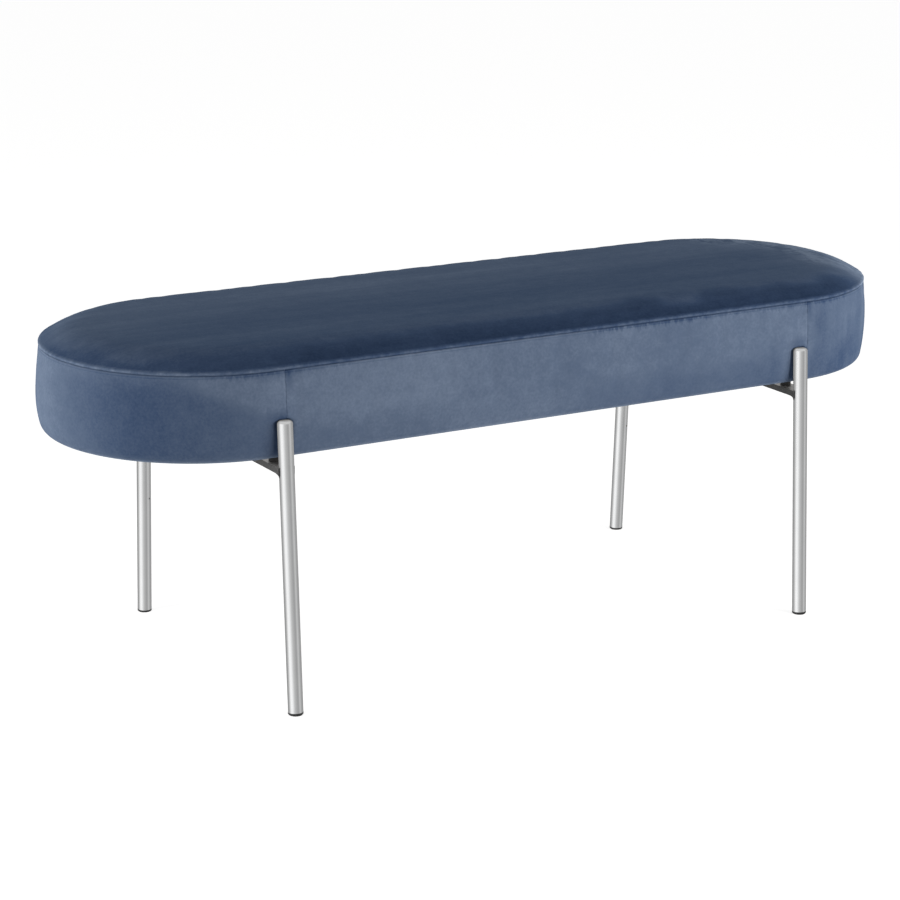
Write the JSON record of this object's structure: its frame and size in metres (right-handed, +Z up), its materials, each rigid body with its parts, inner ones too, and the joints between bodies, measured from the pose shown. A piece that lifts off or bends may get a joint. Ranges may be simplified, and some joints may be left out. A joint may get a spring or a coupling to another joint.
{
  "type": "upholstered bench ottoman",
  "caption": "Long velvet-covered bench seat with round ends, a domed top and a sewn side band, on splayed round steel legs joined by cross bars under the seat.",
  "frame": {"origin": "floor level, under the middle of the seat", "axes": "+X along the bench, -Y is the front, +Z up"},
  "size_m": [1.2, 0.4708, 0.45],
  "materials": {
    "velvet": "short-pile blue-grey velvet",
    "wadding": "white polyester fibre",
    "foam": "cream polyurethane foam",
    "plywood": "plain plywood",
    "dust_cloth": "black non-woven cloth",
    "leg_metal": "satin",
    "bar_steel": "satin, darker than the legs",
    "glide_plastic": "black, moulded",
    "spacer_rubber": "black, matt",
    "zinc_steel": "zinc-plated"
  },
  "bodies": {
    "root": {"top_panel": "velvet", "front_band": "velvet", "back_band": "velvet", "left_end_band": "velvet", "right_end_band": "velvet", "wadding": "wadding", "foam_block": "foam", "base_board": "plywood", "dust_cover": "dust_cloth", "velvet_staples": "zinc_steel", "dust_cover_staples": "zinc_steel", "t_nuts": "zinc_steel", "bar_spacers": "spacer_rubber", "mounting_bolts": "zinc_steel", "left_cross_bar": "bar_steel", "right_cross_bar": "bar_steel", "weld_fillets": "bar_steel", "front_left_leg": "leg_metal", "front_left_leg_cap": "leg_metal", "front_left_leg_glide": "glide_plastic", "front_right_leg": "leg_metal", "front_right_leg_cap": "leg_metal", "front_right_leg_glide": "glide_plastic", "back_left_leg": "leg_metal", "back_left_leg_cap": "leg_metal", "back_left_leg_glide": "glide_plastic", "back_right_leg": "leg_metal", "back_right_leg_cap": "leg_metal", "back_right_leg_glide": "glide_plastic"}
  },
  "joints": []
}
